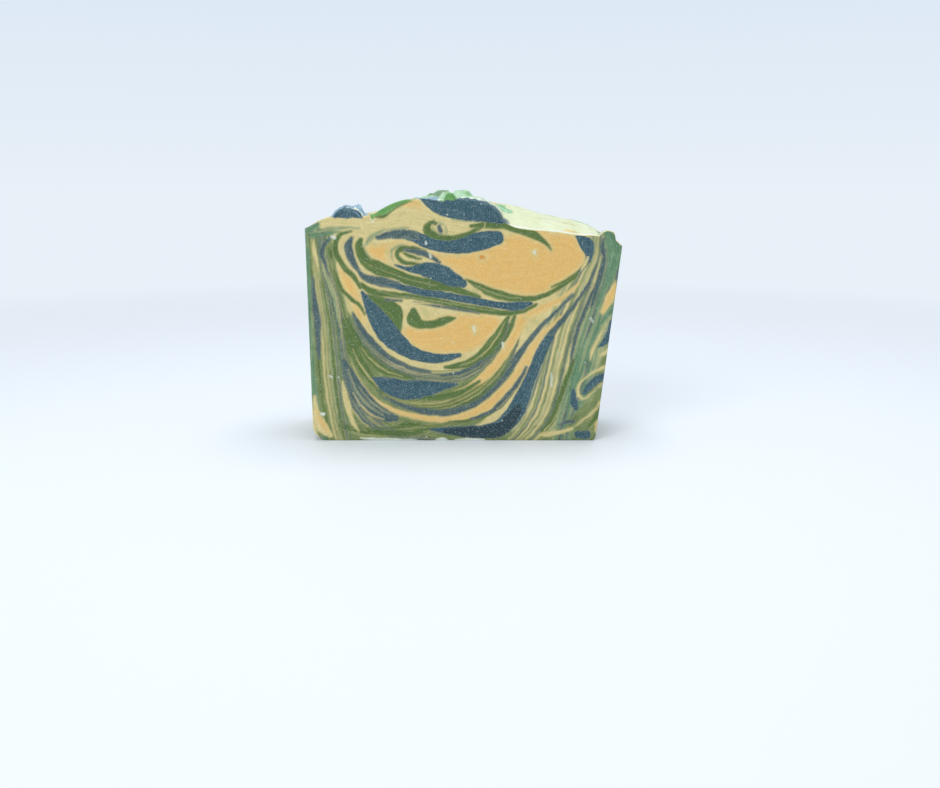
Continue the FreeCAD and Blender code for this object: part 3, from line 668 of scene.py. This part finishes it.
# Each pigment: its colour, the paler colour where it thins out, the deeper one where it gathers, how far
# its edge blurs outward and inward in millimetres, and how many pale grains show in it, from 0 to 1.
LOOKS = {
    "cream": (srgb(216, 200, 140), srgb(224, 210, 154), srgb(200, 188, 128), 0, 0, 0.2),
    "honey": (srgb(228, 187, 111), srgb(230, 194, 121), srgb(226, 182, 103), -0.5, 1.3, 0.25),
    "amber": (srgb(214, 146, 58), srgb(216, 156, 70), srgb(208, 138, 50), -0.35, 0.3, 0.0),
    "sage": (srgb(160, 167, 122), srgb(188, 187, 136), srgb(128, 142, 106), -0.4, 0.2, 0.3),
    "moss": (srgb(122, 138, 86), srgb(156, 161, 106), srgb(98, 117, 76), -0.4, 0.2, 0.3),
    "leaf": (srgb(104, 140, 106), srgb(138, 166, 126), srgb(80, 120, 86), -0.45, 0.2, 0.3),
    "olive": (srgb(90, 115, 58), srgb(114, 133, 74), srgb(80, 105, 56), -0.34, 0.16, 0.35),
    "slate": (srgb(78, 99, 99), srgb(108, 124, 111), srgb(64, 86, 89), -0.34, 0.18, 0.6),
    "blue": (srgb(55, 90, 102), srgb(76, 108, 116), srgb(44, 78, 92), -0.26, 0.1, 1.0),
    "navy": (srgb(40, 64, 72), srgb(56, 80, 84), srgb(36, 58, 67), -0.3, 0.04, 0.5),
    "bright": (srgb(104, 158, 86), srgb(130, 178, 104), srgb(90, 144, 78), -0.2, 0.1, 0.1),
    "pale": (srgb(214, 221, 184), srgb(220, 227, 196), srgb(200, 211, 164), -1.0, 0.6, 0.0),
    "mint": (srgb(164, 202, 166), srgb(200, 222, 196), srgb(120, 172, 120), -0.4, 0.3, 0.0),
    "ice": (srgb(136, 170, 190), srgb(182, 206, 218), srgb(92, 134, 160), -0.4, 0.3, 0.0),
    # White: real chips and crumbs on the front cut, and painted highlights on the poured top.
    "white_crumbs_and_highlights": (srgb(222, 230, 220), srgb(228, 235, 227), srgb(212, 222, 210), -0.25, 0.25, 0.0),
}
# The depths are kept up to this many millimetres inside and outside.
REACH = 1.5


def poured_colours(places):
    """How far each place lies inside each pigment of the top, if it is on the top."""
    across, behind = places[:, 0].copy(), places[:, 1] - FRONT
    for number, place in enumerate(places):
        spot = Vector(place)
        sway = noise.noise_vector(spot * SWAY_WAVES) * SWAY
        sway += noise.noise_vector(spot * SMALL_SWAY_WAVES) * SMALL_SWAY
        sway *= min(1, behind[number] / SWAY_START)
        across[number] += sway.x
        behind[number] += sway.y
    inside = nowhere(across.shape)
    for pigment, points in TOP_STROKES:
        signed, width, _ = measure(across, behind, points)
        cover(inside, pigment, width - np.abs(signed))
    return inside


def write_fields(mesh, places, on_top):
    """Writes each vertex's depth inside each pigment, and its place in the flow, on the mesh."""
    across, up = wander(places)
    inside, flow, run = swirl(across, up)
    above = poured_colours(places)
    fields = {pigment: np.where(on_top, above[pigment], inside[pigment]) for pigment in PIGMENTS}
    fields = {pigment: np.clip(depth, -REACH, REACH) for pigment, depth in fields.items()}
    fields |= {"flow": flow, "run": run, "poured": on_top}
    for name, values in fields.items():
        layer = mesh.attributes.new(name, "FLOAT", "POINT")
        layer.data.foreach_set("value", values.astype(np.float32))


class NodeTree:
    """The nodes of a material or the world. An input is a number, a colour, or another node's output."""

    def __init__(self, owner, shader, output):
        owner.use_nodes = True
        self.owner = owner
        self.nodes = owner.node_tree.nodes
        self.links = owner.node_tree.links
        self.shader = next(node for node in self.nodes if node.type == shader)
        self.surface = next(node for node in self.nodes if node.type == output).inputs["Surface"]

    def fill(self, node, inputs):
        for name, value in inputs.items():
            if isinstance(value, bpy.types.NodeSocket):
                self.links.new(value, node.inputs[name])
            else:
                node.inputs[name].default_value = value
        return node

    def add(self, kind, inputs, **settings):
        node = self.nodes.new("ShaderNode" + kind)
        for name, value in settings.items():
            setattr(node, name, value)
        return self.fill(node, inputs)

    def attribute(self, name):
        return self.add("Attribute", {}, attribute_name=name).outputs["Fac"]

    def math(self, operation, first, second):
        return self.add("Math", {0: first, 1: second}, operation=operation).outputs[0]

    def ramp(self, value, low, high, start=0.0, end=1.0):
        sockets = {"Value": value, "From Min": low, "From Max": high, "To Min": start, "To Max": end}
        return self.add("MapRange", sockets).outputs["Result"]

    def blend(self, factor, first, second, way="MIX"):
        node = self.add("Mix", {"Factor": factor}, data_type="RGBA", blend_type=way)
        return self.fill(node, {"A": first, "B": second}).outputs["Result"]

    def noise(self, place, scale, detail=2.0, roughness=0.5):
        sockets = {"Vector": place, "Scale": scale, "Detail": detail, "Roughness": roughness}
        return self.add("TexNoise", sockets).outputs["Fac"]


def new_material(name):
    return NodeTree(bpy.data.materials.new(name), "BSDF_PRINCIPLED", "OUTPUT_MATERIAL")


# Waves to the metre in the soap's noises: clouds of tone, mottling, bumps and froth.
CLOUDS, MOTTLE, BUMPS, FROTHY = 420.0, 2100.0, 900.0, 420.0
# The flow lines' waves along their run, beside those across it.
STRETCH = 0.07
# Pale grains: cells to the metre, share of the cells that has one, its size in its cell, its strength.
GRAINS = ((3300.0, 0.6, 0.5, 0.22), (1700.0, 0.2, 0.34, 0.34), (700.0, 0.04, 0.2, 0.8))
GRAIN_COLOUR = srgb(206, 218, 208)


def tone_of_batter(soap, here):
    """How far the batter is thinned out here and how far it gathers, each from 0 to 1."""
    run = soap.math("MULTIPLY", soap.attribute("run"), STRETCH)
    along = soap.add("CombineXYZ", {"X": soap.attribute("flow"), "Y": run}).outputs[0]
    streaks = soap.math("ADD", soap.noise(along, 1.1, 2.0), soap.noise(along, 3.2, 2.0))
    clouds = soap.noise(here, CLOUDS, 3.0)
    tone = soap.math("ADD", soap.math("MULTIPLY", streaks, 0.75), soap.math("MULTIPLY", clouds, 0.5))
    return soap.ramp(tone, 1.02, 1.28), soap.ramp(tone, 0.98, 0.76)


def colour_of_batter(soap, here, mottle):
    """Every pigment laid over the one before, and how many grains show."""
    paler, deeper = tone_of_batter(soap, here)
    ragged = soap.ramp(mottle, 0.25, 0.75, -0.06, 0.06)
    colour, grains = None, None
    for pigment, (full, thin, thick, outward, inward, grain) in LOOKS.items():
        layer = soap.blend(deeper, soap.blend(paler, full, thin), thick)
        if colour is None:
            colour, grains = layer, grain
            continue
        edge = soap.ramp(soap.math("ADD", soap.attribute(pigment), ragged), outward, inward)
        colour = soap.blend(edge, colour, layer)
        grains = soap.ramp(edge, 0.0, 1.0, grains, grain)
    light = soap.ramp(mottle, 0.3, 0.7, 0.94, 1.05)
    speckle = soap.add("CombineColor", {0: light, 1: light, 2: light}).outputs[0]
    return soap.blend(1.0, colour, speckle, "MULTIPLY"), grains


def add_grains(soap, here, colour, grains):
    """A few big and many small pale grains, each alone in its own cell."""
    for scale, chance, size, strength in GRAINS:
        cells = soap.add("TexVoronoi", {"Vector": here, "Scale": scale})
        drawn = soap.add("SeparateColor", {"Color": cells.outputs["Color"]}).outputs[0]
        chosen = soap.math("LESS_THAN", drawn, soap.math("MULTIPLY", grains, chance))
        spot = soap.ramp(cells.outputs["Distance"], size * 0.5, size, strength, 0.0)
        colour = soap.blend(soap.math("MULTIPLY", spot, chosen), colour, GRAIN_COLOUR)
    return colour


def soap_material():
    soap = new_material("swirled soap")
    here = soap.add("TexCoord", {}).outputs["Object"]
    colour, grains = colour_of_batter(soap, here, soap.noise(here, MOTTLE, 1.0))
    bumps = soap.noise(here, BUMPS, 4.0, 0.65)
    froth = soap.noise(here, FROTHY, 5.0, 0.7)
    frothy = soap.ramp(soap.attribute("poured"), 0.0, 1.0, 0.3, 3.0)
    relief = soap.math("ADD", bumps, soap.math("MULTIPLY", froth, frothy))
    bump = soap.add("Bump", {"Height": relief, "Strength": 0.35, "Distance": 0.00012})
    soap.fill(
        soap.shader,
        {
            "Base Color": add_grains(soap, here, colour, grains),
            "Roughness": soap.ramp(bumps, 0.3, 0.7, 0.42, 0.6),
            "Normal": bump.outputs[0],
            "Subsurface Weight": 0.15,
            "Subsurface Radius": (1.0, 0.8, 0.5),
            "Subsurface Scale": 0.0012,
            "Specular IOR Level": 0.3,
        },
    )
    return soap.owner


BACKDROP_LOW, BACKDROP_HIGH = srgb(232, 240, 248), srgb(214, 228, 244)
FLOOR_COLOUR, SKY_COLOUR, SKY_LIGHT = srgb(232, 238, 244), srgb(236, 242, 250), 0.5
# The floor turns into the backdrop between these distances, in metres, and ends this far out.
FLOOR_FADE, FLOOR_REACH = (0.12, 0.45), 4.0


def seen_directly(tree):
    """1 for what the camera sees, also in a reflection or through glass, and 0 for light on a surface."""
    path = tree.add("LightPath", {}).outputs
    seen = tree.math("MAXIMUM", path["Is Camera Ray"], path["Is Glossy Ray"])
    return tree.math("MAXIMUM", seen, path["Is Transmission Ray"])


def floor_material():
    """A pale floor that keeps the bar's shadow and turns into the backdrop further away."""
    floor = new_material("pale floor")
    floor.fill(floor.shader, {"Base Color": FLOOR_COLOUR, "Roughness": 0.6})
    here = floor.add("TexCoord", {}).outputs["Object"]
    away = floor.add("VectorMath", {0: here}, operation="LENGTH").outputs["Value"]
    far = floor.math("MULTIPLY", floor.ramp(away, *FLOOR_FADE), seen_directly(floor))
    glow = floor.add("Emission", {"Color": BACKDROP_LOW}).outputs[0]
    mixed = floor.add("MixShader", {0: far, 1: floor.shader.outputs[0], 2: glow})
    floor.links.new(mixed.outputs[0], floor.surface)
    return floor.owner


def add_sky():
    """Plain light from all round, and behind the bar a backdrop that turns bluer upward."""
    bpy.context.scene.world = bpy.data.worlds.new("studio")
    sky = NodeTree(bpy.context.scene.world, "BACKGROUND", "OUTPUT_WORLD")
    sky.fill(sky.shader, {"Color": SKY_COLOUR, "Strength": SKY_LIGHT})
    up = sky.add("SeparateXYZ", {"Vector": sky.add("TexCoord", {}).outputs["Generated"]}).outputs["Z"]
    tone = sky.blend(sky.ramp(up, 0.0, 0.3), BACKDROP_LOW, BACKDROP_HIGH)
    backdrop = sky.add("Background", {"Color": tone}).outputs[0]
    mixed = sky.add("MixShader", {0: seen_directly(sky), 1: sky.shader.outputs[0], 2: backdrop})
    sky.links.new(mixed.outputs[0], sky.surface)


def add_object(name, data):
    obj = bpy.data.objects.new(name, data)
    bpy.context.scene.collection.objects.link(obj)
    return obj


# The camera: its sensor and lens in millimetres, its place in metres, and its tilt from straight down.
SENSOR, LENS = 36, 36.383
CAMERA_PLACE, CAMERA_TILT = (0.00152, -0.2563, 0.0644), radians(78)


def add_camera():
    data = bpy.data.cameras.new("photo_camera")
    data.sensor_width = SENSOR
    data.lens = LENS
    camera = add_object("photo_camera", data)
    camera.location = CAMERA_PLACE
    camera.rotation_euler = (CAMERA_TILT, 0, 0)
    bpy.context.scene.camera = camera


def add_lamp(name, place, size, watts):
    data = bpy.data.lights.new(name, "AREA")
    data.shape = "DISK"
    data.size = size
    data.energy = watts
    lamp = add_object(name, data)
    lamp.location = place
    middle = Vector((0, 0, 0.03))
    lamp.rotation_euler = (middle - Vector(place)).to_track_quat("-Z", "Y").to_euler()


def add_studio():
    signs = ((-1, -1), (1, -1), (1, 1), (-1, 1))
    corners = [(FLOOR_REACH * right, FLOOR_REACH * back, 0) for right, back in signs]
    mesh = bpy.data.meshes.new("floor")
    mesh.from_pydata(corners, [], [(0, 1, 2, 3)])
    mesh.materials.append(floor_material())
    add_object("floor", mesh)
    add_sky()
    add_lamp("overhead", (0.05, 0.05, 0.6), 0.45, 2.2)
    add_lamp("front_left", (-0.35, -0.6, 0.45), 0.5, 2.5)


def main():
    noise.seed_set(SEED)
    bpy.context.scene.view_settings.view_transform = "Standard"
    add_camera()
    mesh, places, on_top = build_skin("swirl_soap")
    write_fields(mesh, places, on_top)
    mesh.materials.append(soap_material())
    mesh.polygons.foreach_set("use_smooth", [True] * len(mesh.polygons))
    mesh.set_sharp_from_angle(angle=radians(60))
    soap = add_object("swirl_soap", mesh)
    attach(soap, "root")
    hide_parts(NODE)
    add_studio()


main()
